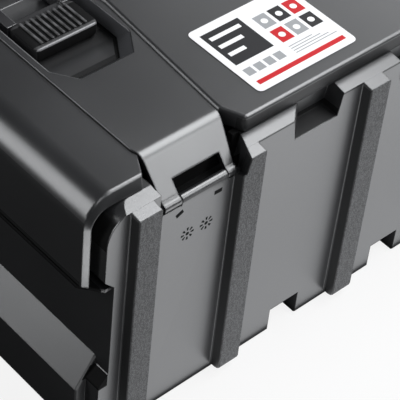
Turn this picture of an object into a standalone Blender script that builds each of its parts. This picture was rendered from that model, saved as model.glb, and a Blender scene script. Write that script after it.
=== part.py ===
"""Stacking tool box: a waisted tub with a hinged cap lid, two lid straps that carry the handles,
the hinge leaves and the front latches."""

import math

import bmesh
import bpy
from mathutils import Matrix, Vector

MM = 0.001
ROUND = 24

# Tub, in millimetres
PANEL_X = 232.0
PANEL_Y = 156.3
PANEL_DRAFT = 1.0
WAIST_X = PANEL_X - 8.0
WAIST_LOW = 66.0
WAIST_HIGH = 153.0
WAIST_SLOPE = 9.0
SILL_TOP = 150.3
SILL_THICK = 3.0
SILL_FLARE = 12.0
HIP_X = PANEL_X + 8.5
HIP_Y = PANEL_Y - 14.3
HIP_FACE = 47.5
HIP_TOP = 74.0
RIM_Z = 216.6
RIM_Y = PANEL_Y - 10.3
SHOULDER_FALL = 0.18
CORNER_R = 23.0
WALL = 3.2
CAVITY_X = PANEL_X - 11.7
CAVITY_Y = PANEL_Y - 17.8
CAVITY_R = 9.0
CAVITY_DRAFT = 2.6
RIB_X = (0.0, 116.0, 204.7)
RIB_WIDTH = 18.8
RIB_OUT = 9.0
RIB_FOOT = 5.0
RIB_STEP = 0.15
NOTCH_FLOOR = RIM_Z - 20.6
NOTCH_RISE = 0.6
NOTCH_BACK = 4.5
NOTCH_INNER = 30.6
NOTCH_OUTER = 73.0
NOTCH_BACK_INNER = 30.4
NOTCH_BACK_OUTER = 54.5
NOTCH_LEAN = 0.15
FOOT_NOTCH_X = 53.2
FOOT_NOTCH_WIDTH = 28.6
FOOT_NOTCH_HIGH = 23.0
FOOT_NOTCH_DEEP = 14.0

# Lid cap; its heights follow the rim
LID_X = HIP_X
LID_Y = RIM_Y
LID_GAP = 0.8
LID_SKIRT = SILL_TOP + 1.2
LID_SIDE = RIM_Z + 9.4
LID_MIDDLE = LID_SIDE + 3.7
LID_END_R = 22.0
LID_TAPER = 3.4
LID_LIP = 0.4
LID_EDGE = 1.3
SKIRT_WALL = 3.8
LID_WALL = 3.2

# Hinge and latch axes: the latch axis mirrors the hinge axis at the front
AXIS_Y = PANEL_Y - 2.5
AXIS_Z = RIM_Z - 17.8
KNUCKLE_R = 3.4
PIN_R = 1.5
PIN_HOLE_R = 1.8
BARREL_LOW = 132.2
BARREL_HIGH = 170.8
WINDOW_LOW = BARREL_LOW - 0.7
WINDOW_HIGH = BARREL_HIGH + 0.7
WINDOW_TOP = AXIS_Z + 12.2
POCKET_FLOOR = AXIS_Z - KNUCKLE_R - 0.6
POCKET_LOW = 117.6
POCKET_HIGH = 189.5

# Lid straps, on the +X side; the other one is its mirror
STRAP_IN_MID = 107.2
STRAP_IN_END = 118.0
SIDE_GAP = 0.7
STRAP_IN_LEAF = POCKET_LOW + SIDE_GAP
LEAF_TIP_IN = STRAP_IN_LEAF + 6.0
RELIEF_X = LEAF_TIP_IN - 4.3
RELIEF_LEAN = 0.25
RELIEF_SKEW = 0.32
STRAP_OUT = 187.0
STRAP_OUT_LEAF = 185.5
STRAP_TOP = LID_SIDE + 1.5
STRAP_THICK = 3.5
STRAP_BEND_Y = LID_Y - 15.0
STRAP_BEND_R = 12.0
STRAP_TAPER_Y = STRAP_BEND_Y - 9.0
STRAP_LEAF_Y = STRAP_BEND_Y - 3.0
STRAP_FIT = 0.35
LEAF_TIP_Y = AXIS_Y - 1.3
LEAF_TIP_Z = AXIS_Z + 4.8
LEAF_FLARE_IN = 110.0
LEAF_FLARE_OUT = 197.0

# Handle dish, bail and grip; their heights follow the strap
DISH_IN = 112.6
DISH_OUT = 182.0
DISH_BACK = 51.5
DISH_FLOOR = STRAP_TOP - 14.0
DISH_SLOPE = 13.5
DISH_WALL = 2.4
BAIL_PIVOT_Y = -42.0
BAIL_PIVOT_Z = STRAP_TOP - 7.0
BAIL_IN = DISH_IN + 8.6
BAIL_OUT = DISH_OUT - 6.4
BAIL_ARM = 7.8
BAIL_R = 5.2
EAR_GAP = 0.6
GRIP_FRONT = -19.4
GRIP_BACK = 11.3
GRIP_LOW = DISH_FLOOR + 1.9
GRIP_TOP = STRAP_TOP - 1.5
GRIP_RIB = 1.3
GRIP_PITCH = 4.7
GRIP_LIP = 3.6
STUB_R = 1.6
STUB_HOLE_R = 1.9

# Latch lever
LEVER_GAP = 1.0
LEVER_THICK = 5.0
LEVER_FOOT = AXIS_Z - 55.8
LEVER_WIDTH = 50.0
CATCH_Z = LEVER_FOOT + 15.0
CATCH_OUT = 2.6
CATCH_WIDTH = 28.0
HOOK_GAP = 0.4
HOOK_ROOM = 1.3

# Label
LABEL_X = (-4.8, 86.5)
LABEL_Y = (60.5, 134.0)
LABEL_THICK = 0.3
SEAT = 0.3

SCREW_IN = STRAP_IN_END + 11.0
SCREW_OUT = STRAP_OUT - 14.0
SCREW_Y = STRAP_TAPER_Y - 30.0
SCREW_R = 1.6
SCREW_HEAD_R = 3.8
SCREW_HEAD = 2.2


def clear_scene():
    for obj in list(bpy.data.objects):
        bpy.data.objects.remove(obj, do_unlink=True)


def collection(name):
    group = bpy.data.collections.new(name)
    bpy.context.scene.collection.children.link(group)
    return group


def material(name, colour, rough, metal=0.0):
    mat = bpy.data.materials.new(name)
    mat.use_nodes = True
    shader = mat.node_tree.nodes["Principled BSDF"]
    shader.inputs["Base Color"].default_value = (*colour, 1.0)
    shader.inputs["Roughness"].default_value = rough
    shader.inputs["Metallic"].default_value = metal
    return mat


def arc(u, v, radius, start, stop, steps):
    """Points of an arc in a section plane, angles in degrees."""
    points = []
    for i in range(steps + 1):
        a = math.radians(start + (stop - start) * i / steps)
        points.append((u + radius * math.cos(a), v + radius * math.sin(a)))
    return points


def mirrored(points):
    """A half section closed by its mirror image in the first coordinate."""
    return points + [(-u, v) for u, v in reversed(points)]


def place(axis, u, v, w):
    if axis == "X":
        return (w * MM, u * MM, v * MM)
    if axis == "Y":
        return (u * MM, w * MM, v * MM)
    return (u * MM, v * MM, w * MM)


def loft(rings):
    """A closed body pulled from ring to ring; each ring is a list of points in metres."""
    def add(bm):
        line = [bm.verts.new(point) for point in rings[0]]
        face = bm.faces.new(line)
        for count, ring in enumerate(rings[1:]):
            pulled = bmesh.ops.extrude_face_region(bm, geom=[face], use_keep_orig=True)
            if count:
                bmesh.ops.delete(bm, geom=[face], context="FACES_ONLY")
            face = [item for item in pulled["geom"] if isinstance(item, bmesh.types.BMFace)][0]
            verts = list(face.verts)
            line = [min(verts, key=lambda vert: (vert.co - old.co).length) for old in line]
            for vert, point in zip(line, ring):
                vert.co = point
    return add


def turned(x, y, profile):
    """A profile of radii and heights turned about an upright axis."""
    def add(bm):
        verts = [bm.verts.new(place("Z", x + radius, y, z)) for radius, z in profile]
        edges = [bm.edges.new(pair) for pair in zip(verts, verts[1:])]
        bmesh.ops.spin(bm, geom=verts + edges, cent=place("Z", x, y, 0.0), axis=(0.0, 0.0, 1.0),
                       angle=2 * math.pi, steps=ROUND // 2, use_merge=True)
        bmesh.ops.remove_doubles(bm, verts=bm.verts, dist=0.001 * MM)
    return add


def prism(axis, section, start, stop):
    """A section drawn across an axis and pulled along it."""
    def add(bm):
        face = bm.faces.new([bm.verts.new(place(axis, u, v, start)) for u, v in section])
        pulled = bmesh.ops.extrude_face_region(bm, geom=[face], use_keep_orig=True)
        verts = [item for item in pulled["geom"] if isinstance(item, bmesh.types.BMVert)]
        bmesh.ops.translate(bm, verts=verts, vec=Vector(place(axis, 0.0, 0.0, stop - start)))
    return add


def block(x, y, z):
    def add(bm):
        low = Vector((x[0], y[0], z[0])) * MM
        high = Vector((x[1], y[1], z[1])) * MM
        seat = Matrix.Translation((low + high) / 2) @ Matrix.Diagonal((*(high - low), 1.0))
        bmesh.ops.create_cube(bm, size=1.0, matrix=seat)
    return add


def rod(x0, x1, y, z, radius):
    def add(bm):
        seat = Matrix.Translation(Vector(((x0 + x1) / 2, y, z)) * MM) @ Matrix.Rotation(math.pi / 2, 4, "Y")
        bmesh.ops.create_cone(bm, cap_ends=True, segments=ROUND, radius1=radius * MM, radius2=radius * MM,
                              depth=(x1 - x0) * MM, matrix=seat)
    return add


def make(name, bodies, group, pivot=None):
    """An object of closed bodies; a moving one hangs on the empty at its joint's axis."""
    bm = bmesh.new()
    for add in bodies:
        add(bm)
    bmesh.ops.recalc_face_normals(bm, faces=bm.faces)
    if bm.calc_volume(signed=True) < 0.0:
        bmesh.ops.reverse_faces(bm, faces=bm.faces)
    mesh = bpy.data.meshes.new(name)
    bm.to_mesh(mesh)
    bm.free()
    obj = bpy.data.objects.new(name, mesh)
    group.objects.link(obj)
    if pivot:
        mesh.transform(Matrix.Translation(-Vector(pivot["seat"])))
        obj.parent = pivot
    return obj


def joint_empty(name, seat, group, parent=None):
    """An empty on a joint's axis; its seat is kept in world metres."""
    empty = bpy.data.objects.new(name, None)
    group.objects.link(empty)
    empty["seat"] = [value * MM for value in seat]
    empty.location = Vector(empty["seat"])
    if parent:
        empty.parent = parent
        empty.location -= Vector(parent["seat"])
    return empty


def level_loft(levels):
    """Rings of plan points, each at its own height."""
    return loft([[place("Z", x, y, z) for x, y in ring] for ring, z in levels])


def rounded_plan(x0, x1, y0, y1, radius, steps=4):
    points = arc(x1 - radius, y1 - radius, radius, 0.0, 90.0, steps)
    points += arc(x0 + radius, y1 - radius, radius, 90.0, 180.0, steps)
    points += arc(x0 + radius, y0 + radius, radius, 180.0, 270.0, steps)
    points += arc(x1 - radius, y0 + radius, radius, 270.0, 360.0, steps)
    return points


def helper(name, bodies):
    obj = make(name, bodies, bpy.data.collections["cutters"])
    obj.hide_render = True
    obj.display_type = "WIRE"
    return obj


def combine(obj, other, operation):
    mod = obj.modifiers.new(other.name, "BOOLEAN")
    mod.operation = operation
    mod.solver = "EXACT"
    mod.object = other


def cut(obj, name, bodies):
    combine(obj, helper(name, bodies), "DIFFERENCE")


def fuse(obj, name, bodies, bevel=0.0):
    other = helper(name, bodies)
    if bevel:
        soften(other, bevel)
    combine(obj, other, "UNION")


def keep(obj, name, bodies):
    combine(obj, helper(name, bodies), "INTERSECT")


def soften(obj, width, segments=1, angle=40.0):
    mod = obj.modifiers.new("soft edges", "BEVEL")
    mod.width = width * MM
    mod.segments = segments
    mod.limit_method = "ANGLE"
    mod.angle_limit = math.radians(angle)


def mirror_across(obj):
    """Repeats a body on the other long side."""
    mod = obj.modifiers.new("other side", "MIRROR")
    mod.use_axis = (False, True, False)
    mod.use_mirror_merge = False


def finish(obj, mat):
    obj.data.materials.append(mat)
    obj.data.shade_smooth()
    obj.data.set_sharp_from_angle(angle=math.radians(32.0))


def both(points):
    """The same plan shape on the +X and on the -X side."""
    return (points, [(-x, y) for x, y in points])


def flip(points):
    return [(x, -y) for x, y in points]


def flip_y(section):
    """A section across the depth, turned to the front side."""
    return [(-y, z) for y, z in section]


def leaf_line():
    """Direction along the sloped leaf and its outward normal."""
    run = Vector((LEAF_TIP_Y - STRAP_BEND_Y, LEAF_TIP_Z - STRAP_TOP)).normalized()
    return run, Vector((-run.y, run.x))


def end_section():
    """Half section of the tub along its length, seen from the front."""
    points = [(PANEL_X, 0.0), (PANEL_X, WAIST_LOW - WAIST_SLOPE), (WAIST_X, WAIST_LOW)]
    points += [(WAIST_X, WAIST_HIGH), (PANEL_X, WAIST_HIGH + WAIST_SLOPE)]
    points += arc(PANEL_X - CORNER_R, RIM_Z - CORNER_R, CORNER_R, 0.0, 90.0, 12)
    return points


def shoulder_at(y):
    """Height of the sloped shoulder, which the rib tops carry on."""
    return RIM_Z - SHOULDER_FALL * (y - RIM_Y)


def side_section():
    """Half section of the tub across its depth."""
    points = [(PANEL_Y - PANEL_DRAFT - 1.5, 0.0), (PANEL_Y - PANEL_DRAFT, 1.5)]
    points += [(PANEL_Y, shoulder_at(PANEL_Y)), (RIM_Y, RIM_Z)]
    return points


def rib_section(side):
    front = PANEL_Y + RIB_OUT
    root = PANEL_Y - 4.0
    points = [(root, RIB_FOOT)]
    points += arc(front - 5.0, RIB_FOOT + 5.0, 5.0, -90.0, 0.0, 3)
    points += [(front, shoulder_at(front) - RIB_STEP), (root, shoulder_at(root) - RIB_STEP)]
    return [(side * y, z) for y, z in points]


def build_tub(group, mat):
    tub = make("body_tub", [prism("Y", mirrored(end_section()), -PANEL_Y - 20.0, PANEL_Y + 20.0)], group)
    keep(tub, "tub depth section", [prism("X", mirrored(side_section()), -PANEL_X - 20.0, PANEL_X + 20.0)])
    hip = [(WAIST_X - 10.0, 1.0), (HIP_X - 3.0, 1.0), (HIP_X, 4.0), (HIP_X, HIP_FACE)]
    hip += [(WAIST_X - 0.5, HIP_TOP), (WAIST_X - 10.0, HIP_TOP)]
    hips = [prism("Y", side, -HIP_Y, HIP_Y) for side in both(hip)]
    fuse(tub, "hips", hips, 1.2)
    sill = [(WAIST_X - 2.0, -HIP_Y - SILL_FLARE + 1.5), (HIP_X - SILL_FLARE, -HIP_Y - SILL_FLARE + 1.5)]
    sill += [(HIP_X, 4.0 - HIP_Y), (HIP_X, HIP_Y - 4.0)] + [(x, -y) for x, y in reversed(sill)]
    fuse(tub, "sills", [prism("Z", side, SILL_TOP - SILL_THICK, SILL_TOP) for side in both(sill)], 0.5)
    ribs = []
    for side in (1.0, -1.0):
        for x in sorted({s * x for x in RIB_X for s in (1.0, -1.0)}):
            ribs.append(prism("X", rib_section(side), x - RIB_WIDTH / 2, x + RIB_WIDTH / 2))
    fuse(tub, "raised ribs", ribs, 0.5)
    low = rounded_plan(CAVITY_DRAFT - CAVITY_X, CAVITY_X - CAVITY_DRAFT,
                       CAVITY_DRAFT - CAVITY_Y, CAVITY_Y - CAVITY_DRAFT, CAVITY_R)
    high = rounded_plan(-CAVITY_X, CAVITY_X, -CAVITY_Y, CAVITY_Y, CAVITY_R)
    cut(tub, "tub inside", [level_loft([(low, WALL), (high, RIM_Z + 10.0)])])
    cores = helper("wall cores", wall_cores())
    cut(cores, "foot notch housings", foot_notches(WALL))
    combine(tub, cores, "DIFFERENCE")
    cut(tub, "notches", notches())
    cut(tub, "foot notches", foot_notches())
    for room in leaf_pockets():
        mirror_across(room)
        combine(tub, room, "DIFFERENCE")
    cut(tub, "rib reliefs", rib_reliefs())
    barrels = []
    bores = []
    for side in (1.0, -1.0):
        section = arc(AXIS_Y, AXIS_Z, KNUCKLE_R, -20.0, 180.0, 22)
        section += [(AXIS_Y - KNUCKLE_R, POCKET_FLOOR - 4.0), (PANEL_Y - 0.5, POCKET_FLOOR - 4.0)]
        x0, x1 = span(side, BARREL_LOW, BARREL_HIGH)
        barrels.append(prism("X", section, x0, x1))
        bores.append(rod(x0 - 3.0, x1 + 3.0, AXIS_Y, AXIS_Z, PIN_HOLE_R))
    fuse(tub, "hinge barrels", barrels)
    cut(tub, "hinge bores", bores)
    catch = [(PANEL_Y - 3.0, CATCH_Z - 6.0), (PANEL_Y + CATCH_OUT, CATCH_Z - 1.0)]
    catch += [(PANEL_Y + CATCH_OUT, CATCH_Z + 1.0), (PANEL_Y - 3.0, CATCH_Z + 12.0)]
    front = [(-y, z) for y, z in catch]
    middle = (BARREL_LOW + BARREL_HIGH) / 2
    half = CATCH_WIDTH / 2
    fuse(tub, "latch catches", [prism("X", front, s * middle - half, s * middle + half) for s in (1.0, -1.0)])
    finish(tub, mat)


def wall_cores():
    """Cores from below that leave the long walls and the hips as thin skins with webs."""
    cores = []
    count = 8
    span = 2 * (CAVITY_X - 1.0)
    pitch = span / count
    for side in (1.0, -1.0):
        for i in range(count):
            x0 = -span / 2 + i * pitch + 1.5
            y = sorted((side * (CAVITY_Y + WALL), side * (PANEL_Y - PANEL_DRAFT - WALL)))
            cores.append(block((x0, x0 + pitch - 3.0), y, (-2.0, POCKET_FLOOR - 6.5)))
        for i in range(4):
            y0 = -HIP_Y + 4.0 + i * (2 * HIP_Y - 8.0) / 4 + 1.5
            x = sorted((side * (WAIST_X + 1.0), side * (HIP_X - WALL)))
            cores.append(block(x, (y0, y0 + (2 * HIP_Y - 8.0) / 4 - 3.0), (-2.0, HIP_FACE - 4.0)))
    return cores


def notches():
    """Top notches for the clips of the box above: square towards the middle, flared towards the ends."""
    cuts = []
    back = RIM_Y - NOTCH_BACK
    out = PANEL_Y + 1.7
    top = RIM_Z + 14.0
    for sx in (1.0, -1.0):
        for sy in (1.0, -1.0):
            rear = NOTCH_FLOOR + NOTCH_RISE
            low = [(NOTCH_BACK_INNER, back, rear), (NOTCH_BACK_OUTER, back, rear)]
            low += [(NOTCH_OUTER, out, NOTCH_FLOOR - 0.4), (NOTCH_INNER, out, NOTCH_FLOOR - 0.4)]
            high = []
            for (x, y, z), lean in zip(low, (-1.0, 1.0, 1.0, -1.0)):
                high.append((x + lean * NOTCH_LEAN * (top - z), y, top))
            rings = [[place("Z", sx * x, sy * y, z) for x, y, z in ring] for ring in (low, high)]
            cuts.append(loft(rings))
    return cuts


def foot_notches(grow=0.0):
    """Notches for the clips of the box below; grown by a wall they are their housings."""
    cuts = []
    half = FOOT_NOTCH_WIDTH / 2 + grow
    for sx in (1.0, -1.0):
        for sy in (1.0, -1.0):
            x = sx * FOOT_NOTCH_X
            y = sorted((sy * (PANEL_Y - FOOT_NOTCH_DEEP - grow), sy * (PANEL_Y + 8.0)))
            cuts.append(block((x - half, x + half), y, (-3.0, FOOT_NOTCH_HIGH + grow)))
    return cuts


def leaf_pockets():
    """Rooms for the leaves."""
    along, out = leaf_line()
    depth = STRAP_THICK + 1.2
    inner = CAVITY_Y + WALL + 0.5
    start = Vector((STRAP_BEND_Y, STRAP_TOP)) - depth * out
    slope = along.y / along.x
    top = RIM_Z + 12.0
    end = PANEL_Y + 0.4
    section = [(inner, POCKET_FLOOR), (end, POCKET_FLOOR), (end, top)]
    section += [(start.x + (top - start.y) / slope, top), (inner, start.y + slope * (inner - start.x))]
    cuts = []
    for side in (1.0, -1.0):
        x0, x1 = span(side, POCKET_LOW, POCKET_HIGH)
        room = helper("leaf room " + str(side), [prism("X", section, x0, x1)])
        cuts.append(room)
    return cuts


def relief_at(y, z):
    """The wall beside a leaf leans with its edge, from the corner of the lid to the front of the rib."""
    front = PANEL_Y + RIB_OUT
    return RELIEF_X + RELIEF_SKEW * (y - front) - RELIEF_LEAN * (z - shoulder_at(front))


def rib_reliefs():
    """Cuts with leaning walls that let the open leaf pass the rib beside it."""
    front = PANEL_Y + 2 * RIB_OUT
    beside = Vector((AXIS_Y + KNUCKLE_R + 0.7, AXIS_Z - 1.2))
    top = RIM_Z + 12.0
    section = [(RIM_Y - 3.0, POCKET_FLOOR), (PANEL_Y, POCKET_FLOOR), tuple(beside)]
    section += [(front, beside.y + 0.5 * (front - beside.x)), (front, top), (RIM_Y - 3.0, top)]
    cuts = []
    for sx in (1.0, -1.0):
        for sy in (1.0, -1.0):
            near = [place("Z", sx * relief_at(y, z), sy * y, z) for y, z in section]
            far = [place("Z", sx * (POCKET_LOW + 12.0), sy * y, z) for y, z in section]
            cuts.append(loft([near, far]))
    return cuts


def strap_plan(grow=0.0, reach=170.0):
    back = [(STRAP_IN_MID - grow, 0.0), (STRAP_IN_END - grow, STRAP_TAPER_Y)]
    back += [(STRAP_IN_LEAF - grow, STRAP_LEAF_Y)]
    back += [(LEAF_TIP_IN - grow, LEAF_TIP_Y), (LEAF_TIP_IN - grow, reach)]
    back += [(STRAP_OUT_LEAF + grow, reach), (STRAP_OUT_LEAF + grow, STRAP_LEAF_Y)]
    back += [(STRAP_OUT + grow, STRAP_TAPER_Y)]
    front = [(x, -y) for x, y in reversed(back[1:])]
    return back + front


def strap_section():
    """Half section across the depth: flat, bend and sloped leaf."""
    along, out = leaf_line()
    angle = -math.atan2(along.y, along.x)
    centre = (STRAP_BEND_Y - STRAP_BEND_R * math.tan(angle / 2), STRAP_TOP - STRAP_BEND_R)
    turn = 90.0 - math.degrees(angle)
    tip = Vector((LEAF_TIP_Y, LEAF_TIP_Z))
    upper = arc(centre[0], centre[1], STRAP_BEND_R, 90.0, turn, 6) + [tuple(tip)]
    under = [tuple(tip - STRAP_THICK * out)]
    under += arc(centre[0], centre[1], STRAP_BEND_R - STRAP_THICK, turn, 90.0, 6)
    return upper, under


def knuckle_section(side):
    """The leaf's foot curled round the pin."""
    along, out = leaf_line()
    tip = Vector((LEAF_TIP_Y, LEAF_TIP_Z)) - 0.4 * along - 0.4 * out
    root = tip - (STRAP_THICK - 1.0) * out - 2.6 * along
    points = [tuple(tip)] + arc(AXIS_Y, AXIS_Z, KNUCKLE_R, 80.0, -150.0, 24) + [tuple(root)]
    return [(side * y, z) for y, z in points]


def dish_plan(grow=0.0, inset=0.0, slope=0.0):
    """Octagon of the handle dish; the long chamfers face the hinge side."""
    x0 = DISH_IN - grow + inset
    x1 = DISH_OUT + grow - inset
    y0 = -DISH_BACK - grow + inset
    y1 = DISH_BACK + grow - slope
    wide = (12.0, 18.0)
    small = (4.0, 5.0)
    points = [(x0 + wide[0], y1), (x0, y1 - wide[1]), (x0, y0 + small[1]), (x0 + small[0], y0)]
    points += [(x1 - small[0], y0), (x1, y0 + small[1]), (x1, y1 - wide[1]), (x1 - wide[0], y1)]
    return points


def side_points(side, points):
    return [(side * x, y) for x, y in points]


def span(side, x0, x1):
    return tuple(sorted((side * x0, side * x1)))


def screw_places():
    return [(x, y) for y in (SCREW_Y, -SCREW_Y) for x in (SCREW_IN, SCREW_OUT)]


def build_strap(name, side, group, mat, pivot):
    upper, under = strap_section()
    section = [(-y, z) for y, z in reversed(upper)] + upper + under + [(-y, z) for y, z in reversed(under)]
    x0, x1 = span(side, STRAP_IN_MID - 4.0, STRAP_OUT + 4.0)
    strap = make(name, [prism("X", section, x0, x1)], group, pivot)
    keep(strap, name + " plan", [prism("Z", side_points(side, strap_plan()), AXIS_Z - 20.0, STRAP_TOP + 5.0)])
    knuckles = []
    for sy in (1.0, -1.0):
        for low, high in ((LEAF_TIP_IN, WINDOW_LOW), (WINDOW_HIGH, STRAP_OUT_LEAF)):
            a, b = span(side, low, high)
            knuckles.append(prism("X", knuckle_section(sy), a, b))
    fuse(strap, name + " knuckles", knuckles)
    a, b = span(side, WINDOW_LOW, WINDOW_HIGH)
    windows = []
    for sy in (1.0, -1.0):
        y = sorted((sy * (STRAP_BEND_Y + 4.0), sy * (AXIS_Y + 20.0)))
        windows.append(block((a, b), y, (AXIS_Z - 20.0, WINDOW_TOP)))
    cut(strap, name + " windows", windows)
    shell = [(dish_plan(DISH_WALL), STRAP_TOP - 1.0)]
    shell += [(dish_plan(DISH_WALL, 1.5, DISH_SLOPE), DISH_FLOOR - DISH_WALL)]
    fuse(strap, name + " dish", [level_loft([(side_points(side, p), z) for p, z in shell])])
    scoop = [(dish_plan(), STRAP_TOP + 0.01), (dish_plan(0.0, 1.5, DISH_SLOPE), DISH_FLOOR)]
    scoop.insert(0, (dish_plan(), STRAP_TOP + 5.0))
    cut(strap, name + " scoop", [level_loft([(side_points(side, p), z) for p, z in scoop])])
    ears = []
    for low, high in ((DISH_IN - 1.0, BAIL_IN - EAR_GAP), (BAIL_OUT + EAR_GAP, DISH_OUT + 1.0)):
        ear = [(BAIL_PIVOT_Y - 5.5, DISH_FLOOR - 1.0), (BAIL_PIVOT_Y + 5.5, DISH_FLOOR - 1.0)]
        ear += arc(BAIL_PIVOT_Y, BAIL_PIVOT_Z, 5.5, 0.0, 180.0, 12)
        a, b = span(side, low, high)
        ears.append(prism("X", ear, a, b))
    fuse(strap, name + " ears", ears)
    holes = []
    for y in (AXIS_Y, -AXIS_Y):
        a, b = span(side, STRAP_IN_LEAF - 5.0, STRAP_OUT_LEAF + 5.0)
        holes.append(rod(a, b, y, AXIS_Z, PIN_HOLE_R))
    for low, high in ((DISH_IN + 2.0, BAIL_IN + 2.0), (BAIL_OUT - 2.0, DISH_OUT - 2.0)):
        a, b = span(side, low, high)
        holes.append(rod(a, b, BAIL_PIVOT_Y, BAIL_PIVOT_Z, STUB_HOLE_R))
    for x, y in screw_places():
        ring = arc(side * x, y, SCREW_R + SEAT, 0.0, 330.0, 11)
        holes.append(prism("Z", ring, STRAP_TOP - STRAP_THICK - 5.0, STRAP_TOP - 1.0))
    cut(strap, name + " holes", holes)
    finish(strap, mat)


def lid_profile(x, z, radius):
    """Half profile of the lid along its length."""
    return [(x, LID_SKIRT)] + arc(x - radius, z - radius, radius, 0.0, 90.0, 12)


def build_lid(group, mat, pivot):
    outer = lid_profile(LID_X, LID_SIDE, LID_END_R)
    lip = lid_profile(LID_X - SKIRT_WALL + LID_LIP, RIM_Z + LID_GAP + LID_LIP, LID_END_R - 8.0)
    edge = LID_Y - LID_TAPER
    rings = [(lip, -LID_Y), (outer, -edge), (outer, edge), (lip, LID_Y)]
    body = loft([[place("Y", x, z, y) for x, z in mirrored(ring)] for ring, y in rings])
    lid = make("lid_shell", [body], group, pivot)
    soften(lid, LID_EDGE, 2, 50.0)
    plateau = [(STRAP_IN_MID - STRAP_FIT, 0.0), (STRAP_IN_END - STRAP_FIT, STRAP_TAPER_Y)]
    plateau += [(STRAP_IN_LEAF - STRAP_FIT, STRAP_LEAF_Y), (LEAF_FLARE_IN, LID_Y)]
    half = plateau + [(-x, y) for x, y in reversed(plateau)]
    whole = half + [(x, -y) for x, y in reversed(half) if y > 0.0]
    middle = helper("lid middle", [prism("Z", whole, LID_SIDE - 9.0, LID_MIDDLE)])
    soften(middle, 2.2, 2, 60.0)
    combine(lid, middle, "UNION")
    beds = []
    flares = []
    wells = []
    inside = STRAP_IN_MID - 4.5
    heads = [block((-inside, inside), (5.0 - LID_Y, LID_Y - 5.0), (RIM_Z - 10.0, LID_MIDDLE - LID_WALL))]
    for side in (1.0, -1.0):
        bed = side_points(side, strap_plan(STRAP_FIT))
        beds.append(prism("Z", bed, STRAP_TOP - STRAP_THICK - SEAT, LID_MIDDLE + 10.0))
        flare = [(STRAP_IN_LEAF - STRAP_FIT, STRAP_LEAF_Y - 0.5), (LEAF_FLARE_IN, LID_Y + 0.5)]
        flare += [(LEAF_FLARE_IN, 170.0), (LEAF_FLARE_OUT, 170.0), (LEAF_FLARE_OUT, LID_Y + 0.5)]
        flare += [(STRAP_OUT_LEAF + STRAP_FIT, STRAP_LEAF_Y - 0.5)]
        for points in (side_points(side, flare), flip(side_points(side, flare))):
            flares.append(prism("Z", points, LID_SKIRT - 20.0, LID_MIDDLE + 10.0))
        well = side_points(side, dish_plan(DISH_WALL + SEAT))
        wells.append(prism("Z", well, RIM_Z - 20.0, STRAP_TOP))
        a, b = span(side, STRAP_IN_MID - 1.5, STRAP_OUT + 2.5)
        under = STRAP_TOP - STRAP_THICK - SEAT - LID_WALL
        heads.append(block((a, b), (4.0 - STRAP_LEAF_Y, STRAP_LEAF_Y - 4.0), (RIM_Z - 10.0, under)))
        out = [(STRAP_OUT + 3.0, 120.0), (LEAF_FLARE_OUT + 2.0, LID_Y - 6.0), (LID_X - 22.0, LID_Y - 6.0)]
        out += flip(list(reversed(out)))
        heads.append(prism("Z", side_points(side, out), RIM_Z - 10.0, LID_SIDE - LID_WALL))
    cut(lid, "strap beds", beds)
    cut(lid, "leaf openings", flares)
    cut(lid, "dish wells", wells)
    arch = [(LID_X - SKIRT_WALL, LID_SKIRT - 30.0)]
    arch += lid_profile(LID_X - SKIRT_WALL, RIM_Z + LID_GAP, LID_END_R - 8.0)[1:]
    cut(lid, "lid arch", [prism("Y", mirrored(arch), -LID_Y - 20.0, LID_Y + 20.0)])
    cut(lid, "lid headroom", heads)
    holes = []
    for x, y in screw_places():
        for side in (1.0, -1.0):
            ring = arc(side * x, y, SCREW_R + SEAT, 0.0, 330.0, 11)
            holes.append(prism("Z", ring, RIM_Z, STRAP_TOP))
    cut(lid, "screw holes", holes)
    finish(lid, mat)


def build_screw(name, x, y, group, mat, pivot):
    under = STRAP_TOP - STRAP_THICK - SEAT - LID_WALL - SEAT
    head = under - SCREW_HEAD
    top = STRAP_TOP - 1.4
    profile = [(0.0, head), (SCREW_HEAD_R - 0.8, head), (SCREW_HEAD_R, head + 0.8), (SCREW_HEAD_R, under)]
    profile += [(SCREW_R, under), (SCREW_R, top), (0.0, top)]
    finish(make(name, [turned(x, y, profile)], group, pivot), mat)


def build_bail(name, side, group, mat, pivot):
    """Two arms on the pivot line and the flat core that the grip covers."""
    bodies = []
    for low, high in ((BAIL_IN, BAIL_IN + BAIL_ARM), (BAIL_OUT - BAIL_ARM, BAIL_OUT)):
        arm = arc(BAIL_PIVOT_Y, BAIL_PIVOT_Z, BAIL_R, 90.0, 270.0, 8)
        arm += [(GRIP_FRONT - SEAT, BAIL_PIVOT_Z - BAIL_R), (GRIP_FRONT - SEAT, BAIL_PIVOT_Z + BAIL_R)]
        a, b = span(side, low, high)
        bodies.append(prism("X", arm, a, b))
    bail = make(name, bodies, group, pivot)
    a, b = span(side, BAIL_IN + 2.4, BAIL_OUT - 2.4)
    core = block((a, b), (GRIP_FRONT - 5.0, GRIP_BACK - 3.4), (GRIP_LOW + 2.2, GRIP_TOP - 2.4))
    fuse(bail, name + " core", [core])
    a, b = span(side, BAIL_IN - 5.0, BAIL_OUT + 5.0)
    cut(bail, name + " bore", [rod(a, b, BAIL_PIVOT_Y, BAIL_PIVOT_Z, STUB_HOLE_R)])
    finish(bail, mat)


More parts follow.
